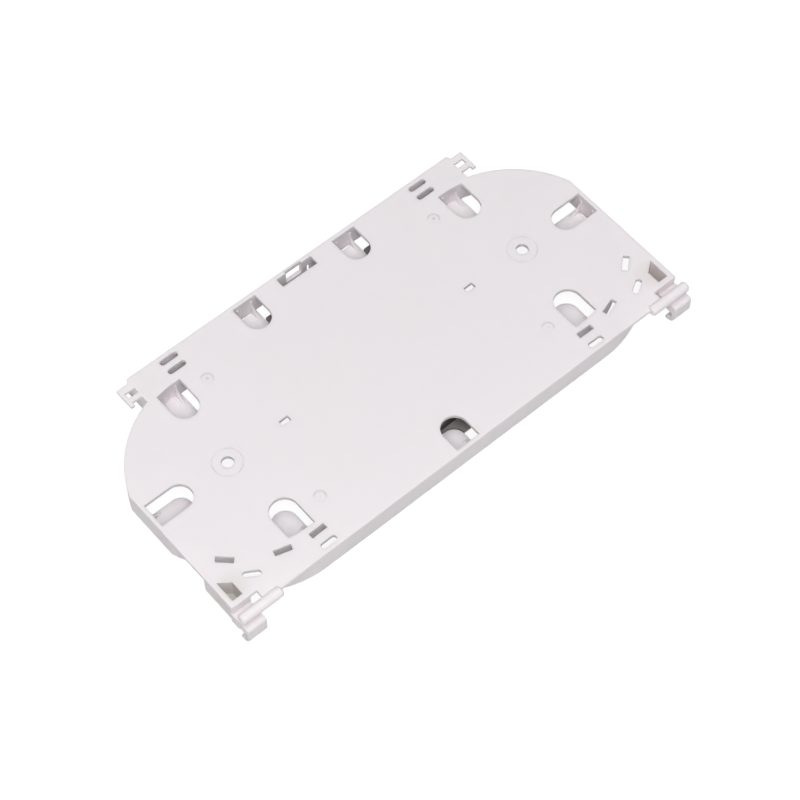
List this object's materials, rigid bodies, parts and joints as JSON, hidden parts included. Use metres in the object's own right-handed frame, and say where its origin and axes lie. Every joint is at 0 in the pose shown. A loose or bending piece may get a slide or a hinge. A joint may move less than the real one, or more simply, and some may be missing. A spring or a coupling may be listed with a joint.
{
  "type": "fibre splice tray",
  "caption": "Shallow moulded tray with round loop walls, retaining fingers, tie slots, hinge rods and hooks, holding a black comb for fibre splice sleeves.",
  "frame": {"origin": "under the middle of the overall outline, at the lowest point of the tray as it lies on its rim with the underside of its base up", "axes": "+X along the tray, +Y towards the latch edge (the hinge edge faces -Y), +Z from the rim to the outer face of the base"},
  "size_m": [0.1804, 0.0904, 0.0135],
  "materials": {
    "tray_moulding": "satin white moulding",
    "holder_moulding": "satin black moulding"
  },
  "bodies": {
    "root": {"tray": "tray_moulding", "splice_holder": "holder_moulding"}
  },
  "joints": []
}
